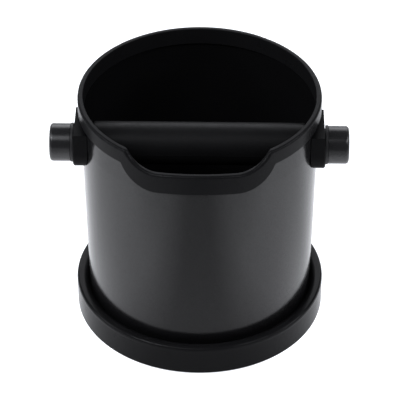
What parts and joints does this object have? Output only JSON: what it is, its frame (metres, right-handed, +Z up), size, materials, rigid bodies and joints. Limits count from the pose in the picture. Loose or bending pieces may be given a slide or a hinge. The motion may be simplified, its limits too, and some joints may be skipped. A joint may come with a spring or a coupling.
{
  "type": "espresso knock box",
  "caption": "Round steel knock box with a dipped rim collar, a removable rubber-sleeved knock bar carried in side saddles, and a rubber boot.",
  "frame": {"origin": "centre of the boot's underside, on the surface that it stands on", "axes": "+X along the knock bar, -Y towards the dipped front edge, +Z up along the bin's axis"},
  "size_m": [0.184, 0.1584, 0.1589],
  "materials": {
    "graphite_steel": "satin",
    "collar_plastic": "fine matt",
    "saddle_plastic": "fine matt",
    "bush_nylon": "smooth",
    "core_steel": "brushed",
    "sleeve_rubber": "matt",
    "insert_steel": "machined",
    "cap_plastic": "satin",
    "screw_steel": "black oxide",
    "boot_rubber": "matt"
  },
  "bodies": {
    "boot": {"base_boot": "boot_rubber"},
    "bin": {"bin_shell": "graphite_steel"},
    "saddles": {"saddle_left": "saddle_plastic", "saddle_right": "saddle_plastic", "bar_bush_left": "bush_nylon", "bar_bush_right": "bush_nylon"},
    "collar": {"rim_collar": "collar_plastic"},
    "bar": {"bar_core": "core_steel", "bar_sleeve": "sleeve_rubber", "core_inserts": "insert_steel", "end_cap_left": "cap_plastic", "end_cap_right": "cap_plastic", "cap_screws": "screw_steel"}
  },
  "joints": [
    {"name": "bin_lift", "type": "slide", "parent": "boot", "child": "bin", "axis": [0, 0, 1], "range_m": [0, 0.06]},
    {"name": "saddle_lift", "type": "slide", "parent": "bin", "child": "saddles", "axis": [0, 0, 1], "range_m": [0, 0.05]},
    {"name": "collar_lift", "type": "slide", "parent": "saddles", "child": "collar", "axis": [0, 0, 1], "range_m": [0, 0.04]},
    {"name": "bar_spin", "type": "hinge", "parent": "saddles", "child": "bar", "pos_m": [0, -0.012, 0.1294], "axis": [1, 0, 0], "continuous": true}
  ]
}
